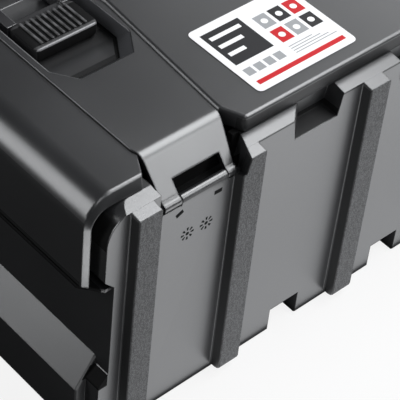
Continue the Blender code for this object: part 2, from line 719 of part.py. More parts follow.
def build_grip(name, side, group, mat, pivot):
    plan = rounded_plan(BAIL_IN + 0.2, BAIL_OUT - 0.2, GRIP_FRONT, GRIP_BACK, 4.0, 3)
    grip = make(name, [prism("Z", side_points(side, plan), GRIP_LOW, GRIP_TOP)], group, pivot)
    soften(grip, 1.4, 2, 50.0)
    ribs = []
    count = int((BAIL_OUT - BAIL_IN - 8.0) / GRIP_PITCH)
    start = (BAIL_IN + BAIL_OUT) / 2 - GRIP_PITCH * (count - 1) / 2
    for i in range(count):
        x = side * (start + i * GRIP_PITCH)
        section = [(x - 1.5, GRIP_TOP - 1.0), (x + 1.5, GRIP_TOP - 1.0), (x + 0.8, GRIP_TOP + GRIP_RIB)]
        section += [(x - 0.8, GRIP_TOP + GRIP_RIB)]
        ribs.append(prism("Y", section, GRIP_FRONT + 2.0, GRIP_BACK - GRIP_LIP))
    fuse(grip, name + " ribs", ribs)
    a, b = span(side, BAIL_IN + 2.4 - SEAT, BAIL_OUT - 2.4 + SEAT)
    z = (GRIP_LOW + 2.2 - SEAT, GRIP_TOP - 2.4 + SEAT)
    cut(grip, name + " socket", [block((a, b), (GRIP_FRONT - 5.0, GRIP_BACK - 3.4 + SEAT), z)])
    finish(grip, mat)


def build_latch(name, side, group, mat, pivot):
    """A lever on the front knuckles; its barrel fills the window, its foot curls out for the finger."""
    face = -(PANEL_Y + LEVER_GAP)
    out = face - LEVER_THICK
    a, b = span(side, BARREL_LOW, BARREL_HIGH)
    latch = make(name, [rod(a, b, -AXIS_Y, AXIS_Z, KNUCKLE_R)], group, pivot)
    crown = AXIS_Z + KNUCKLE_R - 0.4
    neck = [(-AXIS_Y + 0.5, crown), (-AXIS_Y - 1.5, crown), (out, AXIS_Z - 1.5)]
    neck += [(out, AXIS_Z - 14.0), (face, AXIS_Z - 14.0), (face, AXIS_Z - KNUCKLE_R + 0.6)]
    neck += [(-AXIS_Y + 0.5, AXIS_Z - 2.4)]
    fuse(latch, name + " neck", [prism("X", neck, a, b)])
    middle = side * (BARREL_LOW + BARREL_HIGH) / 2
    half = LEVER_WIDTH / 2
    plate = [(face, AXIS_Z - 10.0), (out, AXIS_Z - 10.0), (out, LEVER_FOOT + 9.0)]
    plate += [(out - 2.0, LEVER_FOOT + 2.0), (out - 0.8, LEVER_FOOT)]
    plate += [(face - 2.4, LEVER_FOOT + 7.0), (face, LEVER_FOOT + 9.0)]
    fuse(latch, name + " plate", [prism("X", plate, middle - half, middle + half)], 0.8)
    nose = -(PANEL_Y + CATCH_OUT + HOOK_GAP)
    room = -(PANEL_Y + CATCH_OUT + HOOK_ROOM)
    width = (middle - CATCH_WIDTH / 2 - 2.0, middle + CATCH_WIDTH / 2 + 2.0)
    cut(latch, name + " catch room", [block(width, (room, face + 1.0), (CATCH_Z - 7.0, CATCH_Z + 14.0))])
    cut(latch, name + " nose", [block(width, (nose, face + 1.0), (LEVER_FOOT - 5.0, CATCH_Z))])
    cut(latch, name + " bore", [rod(a - 5.0, b + 5.0, -AXIS_Y, AXIS_Z, PIN_HOLE_R)])
    finish(latch, mat)


def build_pin(name, x0, x1, y, z, radius, group, mat, pivot=None):
    pin = make(name, [rod(x0, x1, y, z, radius)], group, pivot)
    soften(pin, 0.4, 1, 50.0)
    finish(pin, mat)


def build_label(group, mat, pivot):
    plan = rounded_plan(LABEL_X[0], LABEL_X[1], LABEL_Y[0], LABEL_Y[1], 4.0, 4)
    low = LID_MIDDLE + SEAT
    label = make("lid_label", [prism("Z", plan, low, low + LABEL_THICK)], group, pivot)
    finish(label, mat)


def main():
    clear_scene()
    group = collection("stacking_tool_box")
    collection("cutters")
    shell = material("black_polypropylene", (0.035, 0.036, 0.038), 0.45)
    cap = material("lid_polypropylene", (0.038, 0.039, 0.041), 0.42)
    band = material("strap_polypropylene", (0.036, 0.037, 0.039), 0.4)
    lever = material("latch_polypropylene", (0.03, 0.03, 0.032), 0.4)
    frame = material("bail_nylon", (0.028, 0.028, 0.03), 0.35)
    soft = material("grip_elastomer", (0.02, 0.02, 0.021), 0.7)
    steel = material("pin_steel", (0.55, 0.56, 0.58), 0.3, 1.0)
    paper = material("label_film", (0.85, 0.85, 0.86), 0.4)
    lid_pivot = joint_empty("lid_pivot", (0.0, AXIS_Y, AXIS_Z), group)
    build_tub(group, shell)
    build_lid(group, cap, lid_pivot)
    build_label(group, paper, lid_pivot)
    for word, side in (("right", 1.0), ("left", -1.0)):
        middle = side * (BARREL_LOW + BARREL_HIGH) / 2
        latch_pivot = joint_empty("latch_pivot_" + word, (middle, -AXIS_Y, AXIS_Z), group, lid_pivot)
        middle = side * (BAIL_IN + BAIL_OUT) / 2
        bail_pivot = joint_empty("bail_pivot_" + word, (middle, BAIL_PIVOT_Y, BAIL_PIVOT_Z), group, lid_pivot)
        build_strap("lid_strap_" + word, side, group, band, lid_pivot)
        build_bail("handle_bail_" + word, side, group, frame, bail_pivot)
        build_grip("handle_grip_" + word, side, group, soft, bail_pivot)
        build_latch("latch_" + word, side, group, lever, latch_pivot)
        x0, x1 = span(side, LEAF_TIP_IN + 1.0, STRAP_OUT_LEAF - 1.0)
        build_pin("hinge_pin_" + word, x0, x1, AXIS_Y, AXIS_Z, PIN_R, group, steel)
        build_pin("latch_pin_" + word, x0, x1, -AXIS_Y, AXIS_Z, PIN_R, group, steel, lid_pivot)
        for number, (x, y) in enumerate(screw_places(), 1):
            build_screw("strap_screw_" + word + "_" + str(number), side * x, y, group, steel, lid_pivot)
        for end, low, high in (("inner", DISH_IN + 2.6, BAIL_IN + BAIL_ARM - 0.6),
                               ("outer", BAIL_OUT - BAIL_ARM + 0.6, DISH_OUT - 2.6)):
            x0, x1 = span(side, low, high)
            name = "handle_pin_" + word + "_" + end
            build_pin(name, x0, x1, BAIL_PIVOT_Y, BAIL_PIVOT_Z, STUB_R, group, steel, lid_pivot)


main()
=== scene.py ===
"""Finishes a stacking tool box: moulded shells, ribbed grips, steel, a label and the stage."""

import bmesh
import bpy
from bpy.props import FloatProperty, FloatVectorProperty, PointerProperty
from mathutils import Matrix, Vector


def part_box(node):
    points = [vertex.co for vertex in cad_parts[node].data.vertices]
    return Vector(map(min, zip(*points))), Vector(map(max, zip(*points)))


bl_info = {
    "name": "Stacking tool box",
    "version": (1, 0, 0),
    "blender": (4, 5, 0),
    "location": "View3D > Sidebar > Tool box",
    "description": "Dresses the packed tool box and sets its stage",
    "category": "Object",
}

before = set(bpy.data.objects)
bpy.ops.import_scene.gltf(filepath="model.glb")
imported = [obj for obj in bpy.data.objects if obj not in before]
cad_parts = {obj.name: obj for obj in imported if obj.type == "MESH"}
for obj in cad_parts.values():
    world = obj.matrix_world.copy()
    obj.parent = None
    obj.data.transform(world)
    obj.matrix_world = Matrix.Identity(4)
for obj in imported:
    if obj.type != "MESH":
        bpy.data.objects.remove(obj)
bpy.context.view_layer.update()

# Shading of the CAD's triangles, in metres and radians.
JOIN_DISTANCE = 0.00001
CRISP_ANGLE = 0.17
SOFT_ANGLE = 0.56
BEVEL_SAMPLES = 6
# Turn of the edge normal at which the edges' wear and painted highlight are full.
WEAR_AND_HIGHLIGHT_TURN = 0.3

# Plastic and rubber. Painted shade makes a place dull and dark.
PLASTIC_IOR = 1.58
RUBBER_IOR = 1.52
BUMP_DEPTH = 0.00012
TUB_SATIN = 1.2
LID_EDGE, STRAP_EDGE, GRIP_EDGE = 1.4, 1.5, 0.8
# Colour and roughness of the painted shade.
PAINTED_SHADE_COLOUR = (0.004, 0.004, 0.004, 1.0)
PAINTED_SHADE_ROUGHNESS = 0.8


def colour_prop(name, description, value):
    return FloatVectorProperty(
        name=name, description=description, subtype="COLOR", size=3, min=0.0, max=1.0, default=value
    )


def length_prop(name, description, value):
    return FloatProperty(
        name=name,
        description=description,
        subtype="DISTANCE",
        unit="LENGTH",
        default=value,
        precision=5,
    )


def factor_prop(name, description, value):
    return FloatProperty(
        name=name, description=description, subtype="FACTOR", min=0.0, max=1.0, default=value
    )


def power_prop(name, description, value):
    return FloatProperty(
        name=name, description=description, subtype="POWER", min=0.0, default=value
    )


def direction_prop(name, description, value):
    return FloatVectorProperty(
        name=name, description=description, subtype="DIRECTION", size=3, default=value
    )


class ToolBoxFinish(bpy.types.PropertyGroup):
    """Colours and surface of the box."""

    tub_colour: colour_prop("Tub", "Colour of the moulded tub", (0.021, 0.0215, 0.023))
    lid_colour: colour_prop("Lid", "Colour of the lid cap", (0.021, 0.0215, 0.023))
    strap_colour: colour_prop("Straps", "Colour of the lid straps", (0.021, 0.0215, 0.023))
    bail_colour: colour_prop("Bails", "Colour of the handle bails", (0.022, 0.022, 0.024))
    grip_colour: colour_prop("Grips", "Colour of the soft grips", (0.018, 0.018, 0.019))
    latch_colour: colour_prop("Latches", "Colour of the latch levers", (0.028, 0.029, 0.031))
    steel_colour: colour_prop("Steel", "Colour of the pins and screws", (0.52, 0.53, 0.55))
    satin: factor_prop("Satin", "Roughness of the smooth shells", 0.31)
    grain: factor_prop("Grain", "Roughness of the textured rib fronts", 0.74)
    edge_radius: length_prop("Edge radius", "Softness of the moulded edges", 0.0009)
    grain_pitch: length_prop("Grain pitch", "Size of the texture on the rib fronts", 0.0011)


class ToolBoxLabel(bpy.types.PropertyGroup):
    """Colours of the printed label."""

    paper: colour_prop("Paper", "Ground of the label", (0.86, 0.86, 0.87))
    ink: colour_prop("Ink", "Dark print", (0.020, 0.020, 0.022))
    red: colour_prop("Red", "Accent print", (0.55, 0.009, 0.015))
    grey: colour_prop("Grey", "Half-tone print", (0.33, 0.34, 0.35))


class ToolBoxStage(bpy.types.PropertyGroup):
    """Lamps, floor and camera."""

    floor_size: length_prop("Floor", "Edge of the floor", 12.0)
    top_power: power_prop("Top", "High lamp that the shoulder and the bends mirror", 19.0)
    back_power: power_prop("Back", "Lamp beyond the hinge side, which the leaves mirror", 11.0)
    end_power: power_prop("End", "Tall lamp off the short end", 8.6)
    near_power: power_prop("Near card", "Floor card at the foot of the hinge side", 0.60)
    far_power: power_prop("Far card", "Floor card further out", 2.5)
    corner_power: power_prop("Corner card", "Small floor card before the corner", 0.15)
    rim_power: power_prop("Rim", "Low lamp behind the far end", 7.2)
    fill_power: power_prop("Fill", "Soft lamp over the camera", 6.5)
    world_level: FloatProperty(
        name="World", description="Level of the surrounding light", default=0.04, min=0.0
    )
    focal_pixels: FloatProperty(
        name="Focal length",
        description="Focal length in pixels of the square picture",
        default=1750.29,
    )
    camera_seat: FloatVectorProperty(
        name="Camera",
        description="Camera place",
        subtype="XYZ",
        size=3,
        unit="LENGTH",
        default=(0.73073, 0.71047, 0.97920),
    )
    camera_right: direction_prop(
        "Right", "Direction to the picture's right", (-0.744757, 0.662756, 0.078047)
    )
    camera_down: direction_prop(
        "Down", "Direction to the picture's foot", (0.427065, 0.563208, -0.707398)
    )


class Sock:
    """A shader socket that takes part in arithmetic."""

    def __init__(self, sheet, socket):
        self.sheet = sheet
        self.socket = socket

    def _math(self, operation, *values):
        return self.sheet.node("ShaderNodeMath", {"operation": operation}, dict(enumerate(values)))

    def __add__(self, other):
        return self._math("ADD", self, other)

    __radd__ = __add__

    def __sub__(self, other):
        return self._math("SUBTRACT", self, other)

    def __rsub__(self, other):
        return self._math("SUBTRACT", other, self)

    def __mul__(self, other):
        return self._math("MULTIPLY", self, other)

    __rmul__ = __mul__

    def __truediv__(self, other):
        return self._math("DIVIDE", self, other)

    def __pow__(self, other):
        return self._math("POWER", self, other)

    def __abs__(self):
        return self._math("ABSOLUTE", self)

    def __gt__(self, other):
        return self._math("GREATER_THAN", self, other)

    def __lt__(self, other):
        return self._math("LESS_THAN", self, other)

    def ramp(self, low, high):
        """Rises smoothly from 0 at low to 1 at high."""
        settings = {"interpolation_type": "SMOOTHSTEP", "clamp": True}
        inputs = {0: self, 1: low, 2: high, 3: 0.0, 4: 1.0}
        return self.sheet.node("ShaderNodeMapRange", settings, inputs)

    def within(self, low, high, soft=0.0):
        """One between low and high, nought elsewhere, with edges that may be soft."""
        if soft:
            return self.ramp(low - soft, low + soft) * (1.0 - self.ramp(high - soft, high + soft))
        return (self > low) * (self < high)

    def peak(self, other):
        return self._math("MAXIMUM", self, other)


class Sheet:
    """One material and its nodes."""

    def __init__(self, name):
        self.material = bpy.data.materials.new(name)
        self.material.use_nodes = True
        self.tree = self.material.node_tree
        self.tree.nodes.clear()
        self.place = self.node("ShaderNodeTexCoord", {}, {}, "Object")
        self.x, self.y, self.z = (
            self.node("ShaderNodeSeparateXYZ", {}, {0: self.place}, axis) for axis in "XYZ"
        )

    def node(self, kind, settings, inputs, out=0):
        made = self.tree.nodes.new(kind)
        for key, value in settings.items():
            setattr(made, key, value)
        for key, value in inputs.items():
            if isinstance(value, Sock):
                self.tree.links.new(value.socket, made.inputs[key])
            else:
                made.inputs[key].default_value = value
        return Sock(self, made.outputs[out]) if made.outputs else None

    def noise(self, scale, detail=2.0, rough=0.5, vector=None):
        vector = vector or self.place
        inputs = {"Vector": vector, "Scale": scale, "Detail": detail, "Roughness": rough}
        return self.node("ShaderNodeTexNoise", {}, inputs)

    def stretched(self, scale):
        """The place on the object, scaled along each axis."""
        return self.node("ShaderNodeMapping", {}, {"Vector": self.place, "Scale": scale})

    def mix(self, factor, low, high):
        """A colour between low and high."""
        inputs = {0: factor}
        for key, value in ((6, low), (7, high)):
            inputs[key] = value if isinstance(value, Sock) else (*value, 1.0)
        return self.node("ShaderNodeMix", {"data_type": "RGBA"}, inputs, 2)

    def edges(self, radius):
        """Soft normal of the rounded edges and how far it leans from the flat one."""
        soft = self.node("ShaderNodeBevel", {"samples": BEVEL_SAMPLES}, {"Radius": radius})
        flat = self.node("ShaderNodeNewGeometry", {}, {}, "Normal")
        product = {"operation": "DOT_PRODUCT"}
        turn = self.node("ShaderNodeVectorMath", product, {0: soft, 1: flat}, "Value")
        return soft, (1.0 - turn).ramp(0.0, WEAR_AND_HIGHLIGHT_TURN)

    def lean(self, axis):
        """How far the bare face turns towards an axis of the object, either way."""
        flat = self.node("ShaderNodeNewGeometry", {}, {}, "True Normal")
        turn = {"vector_type": "NORMAL", "convert_from": "WORLD", "convert_to": "OBJECT"}
        own = self.node("ShaderNodeVectorTransform", turn, {0: flat})
        return abs(self.node("ShaderNodeSeparateXYZ", {}, {0: own}, axis))

    def bump(self, height, strength, distance, normal=None):
        inputs = {"Height": height, "Strength": strength, "Distance": distance}
        if normal:
            inputs["Normal"] = normal
        return self.node("ShaderNodeBump", {}, inputs)

    def close(self, inputs, painted_shade=None):
        """The Principled shader at the end of the sheet, mixed with a dull black shader where shade
        is painted.
        """
        if painted_shade is not None:
            inputs["Roughness"] = inputs["Roughness"].peak(painted_shade * PAINTED_SHADE_ROUGHNESS)
        shader = self.node("ShaderNodeBsdfPrincipled", {}, inputs)
        if painted_shade is not None:
            dull = self.node("ShaderNodeBsdfDiffuse", {}, {"Color": PAINTED_SHADE_COLOUR})
            shader = self.node("ShaderNodeMixShader", {}, {0: painted_shade, 1: shader, 2: dull})
        self.node("ShaderNodeOutputMaterial", {}, {"Surface": shader})
        return self.material


def tint(colour, factor):
    return tuple(min(1.0, c * factor) for c in colour)


def strongest(*places):
    """The largest of several masks, each with its own strength."""
    first, *rest = [mask * strength for mask, strength in places]
    for mask in rest:
        first = first.peak(mask)
    return first


def rounded_faces(limit):
    """Node group that joins the triangles and smooths edges that are shallower than an angle."""
    name = "rounded_faces_%.2f" % limit
    if name in bpy.data.node_groups:
        return bpy.data.node_groups[name]
    tree = bpy.data.node_groups.new(name, "GeometryNodeTree")
    for way in ("INPUT", "OUTPUT"):
        tree.interface.new_socket("Geometry", in_out=way, socket_type="NodeSocketGeometry")
    bare = tree.nodes.new("GeometryNodeRemoveAttribute")
    bare.inputs["Name"].default_value = "custom_normal"
    joined = tree.nodes.new("GeometryNodeMergeByDistance")
    joined.inputs["Distance"].default_value = JOIN_DISTANCE
    faces = tree.nodes.new("GeometryNodeSetShadeSmooth")
    edges = tree.nodes.new("GeometryNodeSetShadeSmooth")
    edges.domain = "EDGE"
    angle = tree.nodes.new("GeometryNodeInputMeshEdgeAngle")
    shallow = tree.nodes.new("FunctionNodeCompare")
    shallow.operation = "LESS_THAN"
    shallow.inputs[1].default_value = limit
    tree.links.new(angle.outputs["Unsigned Angle"], shallow.inputs[0])
    tree.links.new(shallow.outputs[0], edges.inputs["Shade Smooth"])
    start, end = tree.nodes.new("NodeGroupInput"), tree.nodes.new("NodeGroupOutput")
    chain = (start, bare, joined, faces, edges, end)
    for first, second in zip(chain, chain[1:]):
        tree.links.new(first.outputs[0], second.inputs[0])
    return tree


def dress(material, *nodes, limit=SOFT_ANGLE):
    """Gives the CAD nodes a finish and shades their curved faces smooth."""
    tree = rounded_faces(limit)
    for name in nodes:
        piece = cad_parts[name]
        piece.data.materials.clear()
        piece.data.materials.append(material)
        piece.modifiers.new("rounded faces", "NODES").node_group = tree


def sided(stem):
    return [stem + "_" + side for side in ("right", "left")]


def moulded(name, colour, rough, edge, extra=None):
    """Satin plastic: faint flow clouds, fine orange peel, and edges lightened partly as scuffed wear
    and partly as a painted highlight.
    """
    sheet = Sheet(name)
    flow = sheet.noise(scale=9.0, detail=3.0, rough=0.55)
    fine = sheet.noise(scale=900.0, detail=2.0, rough=0.6)
    soft, wear_and_highlight = sheet.edges(edge)
    scuff = sheet.noise(scale=60.0, detail=6.0, rough=0.7).ramp(0.52, 0.74)
    shade = sheet.mix(flow.ramp(0.3, 0.7), tint(colour, 0.88), tint(colour, 1.12))
    # Edges lightened: partly scuffed wear, partly a painted highlight.
    shade = sheet.mix(wear_and_highlight * (0.10 + 0.25 * scuff), shade, tint(colour, 2.4))
    gloss = rough + 0.07 * (flow - 0.5) + 0.10 * (fine - 0.5) - 0.05 * wear_and_highlight
    height = fine * 0.6
    # Painted shade from the extra step, if it gives any.
    painted_shade = None
    if extra:
        shade, gloss, height, painted_shade = extra(sheet, shade, gloss, height)
    surface = {
        "Base Color": shade,
        "Roughness": gloss,
        "Normal": sheet.bump(height, strength=0.25, distance=BUMP_DEPTH, normal=soft),
        "IOR": PLASTIC_IOR,
        "Specular IOR Level": 1.0,
    }
    return sheet.close(surface, painted_shade)


# Relief of the tub in units of the bump's depth, how much smoother its ledges are, and the cosines
# past which a face counts as turned to an axis or upwards.
GRAIN_HEIGHT = 7.0
MARKS_DEPTH = 4.0
LEDGE_GLOSS, LEDGE_FLATNESS = 0.07, 0.85
FACES_AXIS, FACES_UP = 0.95, 0.6

# Places on the tub and the lid, in metres: across is along x from the middle, out is along y from
# the middle, and heights are from the tub's foot. A pair is a range.
SOFT_EDGE = 0.0002
RIB_BLEND = 0.0006
POCKET_ACROSS, POCKET_OUT = (0.1172, 0.1900), 0.1512
POCKET_SIDE, POCKET_SIDE_OUT = (0.1080, 0.1172), 0.1455
POCKET_FOOT = 0.1940
HIP_ACROSS, HIP_OUT, HIP_HEIGHT = 0.2245, 0.1415, (0.0545, 0.0655)
FLANK_OUT, FLANK_TOP = (0.1570, 0.1641), 0.2120
NOTCH_ACROSS, NOTCH_OUT, NOTCH_HEIGHT = 0.1000, (0.1400, 0.1552), (0.1940, 0.2010)
SEAM_ACROSS, SEAM_OUT, SEAM_HEIGHT = 0.1060, (0.1556, 0.1570), (0.2131, 0.2143)
END_ACROSS = 0.2200
SILL_ACROSS, SILL_HEIGHT = 0.2300, (0.1470, 0.1512)
TURN_ACROSS, TURN_OUT, TURN_FOOT = (0.2200, 0.2260), 0.1553, 0.1900
LID_END_ACROSS = 0.2300
LID_WALL_ACROSS, LID_WALL_OUT, LID_WALL_DEPTH = 0.1140, 0.1400, (0.0150, 0.0024)
LID_FOOT_OUT, LID_FOOT_TOP = 0.1410, 0.1560

# Moulder's marks: slots run from a point to a point and dials sit at a point, all as x and height.
SLOTS = ((0.1748, 0.1866, 0.1690, 0.1892), (0.1421, 0.1887, 0.1353, 0.1885))
SLOT_SIDE = (0.0016, 0.0020)
DIALS = ((0.1631, 0.1643), (0.1466, 0.1640))
DIAL_RING = (0.0028, 0.0056)
DIAL_HUB = (0.0013, 0.0017)
DIAL_TICKS = 8.0
MARKS_OUT = 0.1500


class TOOLBOX_OT_tub(bpy.types.Operator):
    """Grain on the rib fronts, painted shade in the hinge pockets and other recesses, and the
    moulder's marks on one panel
    """

    bl_idname = "toolbox.tub"
    bl_label = "Tub"

    def execute(self, context):
        finish = context.scene.toolbox_finish
        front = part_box("body_tub")[1][1] - RIB_BLEND

        def details(sheet, shade, gloss, height):
            on_rib = abs(sheet.y).ramp(front - RIB_BLEND, front)
            grainy = self.grain(sheet, finish.grain_pitch)
            light, dark = tint(finish.tub_colour, 2.4), tint(finish.tub_colour, 0.4)
            shade = sheet.mix(on_rib, shade, sheet.mix(grainy, light, dark))
            gloss = gloss + on_rib * (finish.grain - finish.satin + 0.10 * (grainy - 0.5))
            height = height + on_rib * grainy * GRAIN_HEIGHT
            upward = sheet.lean("Z") > FACES_UP
            gloss = gloss - LEDGE_GLOSS * upward
            height = height * (1.0 - LEDGE_FLATNESS * upward)
            marks = self.marks(sheet) * (sheet.y > MARKS_OUT)
            return shade, gloss, height - marks * MARKS_DEPTH, self.painted_shades(sheet, marks)

        satin = finish.satin * TUB_SATIN
        plastic = moulded("tub_plastic", finish.tub_colour, satin, finish.edge_radius, details)
        dress(plastic, "body_tub", limit=CRISP_ANGLE)
        return {"FINISHED"}

    @staticmethod
    def grain(sheet, pitch):
        """Pebbles broken by a noise that is drawn out upwards."""
        inputs = {"Vector": sheet.place, "Scale": 1.0 / pitch, "Randomness": 1.0}
        pebble = sheet.node("ShaderNodeTexVoronoi", {"feature": "F1"}, inputs)
        tall = sheet.stretched((1.0, 1.0, 0.35))
        drawn = sheet.noise(scale=0.7 / pitch, detail=4.0, rough=0.75, vector=tall)
        return (pebble * 0.5 + drawn * 0.7).ramp(0.40, 0.75)

    @staticmethod
    def painted_shades(sheet, marks):
        """Painted shade in the pockets and notches, on the hips, sills, corner turn and seam, in the
        moulder's marks, and on the flanks and ends that mirror nothing bright.
        """
        across, out, up = abs(sheet.x), abs(sheet.y), sheet.z
        pocket = across.within(*POCKET_ACROSS) * (out < POCKET_OUT)
        pocket = pocket + across.within(*POCKET_SIDE) * (out < POCKET_SIDE_OUT)
        hip = (across > HIP_ACROSS) * (out > HIP_OUT) * up.within(*HIP_HEIGHT)
        sill = (across > SILL_ACROSS) * up.within(*SILL_HEIGHT)
        turn = across.ramp(*TURN_ACROSS) * (out < TURN_OUT) * (up > TURN_FOOT)
        flank = out.within(*FLANK_OUT, SOFT_EDGE) * (up < FLANK_TOP)
        notch = (across < NOTCH_ACROSS) * out.within(*NOTCH_OUT) * up.within(*NOTCH_HEIGHT)
        seam = out.within(*SEAM_OUT) * up.within(*SEAM_HEIGHT, SOFT_EDGE) * (across < SEAM_ACROSS)
        ends = (sheet.lean("X") > FACES_AXIS) * (across > END_ACROSS)
        # Strength of the painted shade at each place; the marks get it for the depth of the slots and
        # dial grooves.
        return strongest(
            (pocket * (up > POCKET_FOOT), 0.9),
            (hip, 0.9),
            (sill, 0.9),
            (turn, 0.9),
            (marks, 0.9),
            (flank, 0.55),
            (notch, 0.6875),
            (seam, 0.55),
            (ends, 0.44),
        )

    @staticmethod
    def marks(sheet):
        """Two slots under the hinge and two dials with plain ticks, all without words."""
        shapes = []
        for x0, z0, x1, z1 in SLOTS:
            run = Vector((x1 - x0, z1 - z0))
            step = run.normalized()
            along = (sheet.x - x0) * step.x + (sheet.z - z0) * step.y
            aside = abs((sheet.z - z0) * step.x - (sheet.x - x0) * step.y)
            slot = along.within(0.0, run.length, SOFT_EDGE)
            shapes.append(slot * (1.0 - aside.ramp(*SLOT_SIDE)))
        for x, z in DIALS:
            right, up = sheet.x - x, sheet.z - z
            far = (right * right + up * up) ** 0.5
            turn = sheet.node("ShaderNodeMath", {"operation": "ARCTAN2"}, {0: up, 1: right})
            wave = sheet.node("ShaderNodeMath", {"operation": "COSINE"}, {0: turn * DIAL_TICKS})
            shapes.append(far.within(*DIAL_RING, SOFT_EDGE) * wave.ramp(-0.1, 0.3))
            shapes.append(1.0 - far.ramp(*DIAL_HUB))
        return sum(shapes)


class TOOLBOX_OT_lid(bpy.types.Operator):
    """Satin cap of the lid"""

    bl_idname = "toolbox.lid"
    bl_label = "Lid"

    def execute(self, context):
        finish = context.scene.toolbox_finish
        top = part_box("lid_shell")[1][2]

        def under_edge(sheet, shade, gloss, height):
            """Painted shade on the wall under the middle's edge, on the end skirts and on their foot.
            """
            across, out, up = abs(sheet.x), abs(sheet.y), sheet.z
            low, high = (top - depth for depth in LID_WALL_DEPTH)
            wall = up.within(low, high, 0.0003) * (out > LID_WALL_OUT) * (across < LID_WALL_ACROSS)
            ends = (sheet.lean("X") > FACES_AXIS) * (across > LID_END_ACROSS)
            foot = (up < LID_FOOT_TOP) * (across > LID_END_ACROSS) * (out < LID_FOOT_OUT)
            return shade, gloss, height, strongest((wall, 0.6), (ends, 0.44), (foot, 0.8))

        edge = finish.edge_radius * LID_EDGE
        plastic = moulded("lid_plastic", finish.lid_colour, finish.satin, edge, under_edge)
        dress(plastic, "lid_shell", limit=CRISP_ANGLE)
        return {"FINISHED"}


# Places in the handle dish of a strap, in metres as for the tub, with depths from the strap's top.
DISH_ACROSS, DISH_OUT, DISH_DEPTH = (0.1120, 0.1825), 0.0525, 0.0125
DISH_NEAR = (0.0332, 0.0405)
DISH_FOOT_ACROSS, DISH_FOOT_OUT = (0.1152, 0.1162), 0.0220
DISH_WALL_ACROSS, DISH_WALL_DEPTH = 0.1300, (0.0120, 0.0006)
SLANT_POINT, SLANT_FACES = (0.1141, 0.0200), (0.832, -0.555)
SLANT_REACH, SLANT_OUT = (0.0012, 0.0022), 0.0180
UNDER_GRIP, UNDER_FADE = (0.0060, 0.0300), (0.0120, 0.0280)


class TOOLBOX_OT_straps(bpy.types.Operator):
    """Straps across the lid with their dishes and leaves"""

    bl_idname = "toolbox.straps"
    bl_label = "Straps"

    def execute(self, context):
        finish = context.scene.toolbox_finish
        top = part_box("lid_strap_right")[1][2]

        def dish(sheet, shade, gloss, height):
            """Painted shadow along the dish floor's near edge, wall foot and slant and under the
            grip, and painted light on the dish's inner walls.
            """
            across, out = abs(sheet.x), sheet.y
            inside = across.within(*DISH_ACROSS) * (abs(out) < DISH_OUT)
            below = (sheet.z < top - DISH_DEPTH) * inside
            near = out.within(*DISH_NEAR, 0.0006)
            foot = (1.0 - across.ramp(*DISH_FOOT_ACROSS)) * (out < DISH_FOOT_OUT)
            reach = (across - SLANT_POINT[0]) * SLANT_FACES[0]
            reach = reach + (out - SLANT_POINT[1]) * SLANT_FACES[1]
            slant = (1.0 - reach.ramp(*SLANT_REACH)) * (out > SLANT_OUT)
            under = out.within(*UNDER_GRIP) * (1.0 - out.ramp(*UNDER_FADE))
            low, high = (top - depth for depth in DISH_WALL_DEPTH)
            wall = sheet.z.within(low, high) * inside * (across < DISH_WALL_ACROSS)
            # Painted light: the dish's inner walls are made brighter than their colour.
            shade = sheet.mix(wall, shade, tint(finish.strap_colour, 3.6))
            # Painted shadow on the dish floor.
            painted_shade = strongest((near, 0.75), (foot, 0.9), (slant, 0.9), (under, 0.7))
            return shade, gloss, height, below * painted_shade

        edge = finish.edge_radius * STRAP_EDGE
        plastic = moulded("strap_plastic", finish.strap_colour, finish.satin, edge, dish)
        dress(plastic, *sided("lid_strap"), limit=CRISP_ANGLE)
        return {"FINISHED"}


# Colour of the painted highlight on a grip's lip and rib crests.
LIP_HIGHLIGHT_COLOUR = (0.30, 0.30, 0.31)
# Places on a grip, in metres from its back, its front and its top.
LIP_BACK, LIP_DEPTH = 0.0013, (0.0027, 0.0014)
CREST_DEPTH = (0.0005, 0.0002)
FACE_BACK, FACE_DEPTH = 0.0008, 0.0030
VALLEY_INSET, VALLEY_DEPTH = 0.0036, (0.0020, 0.0008)


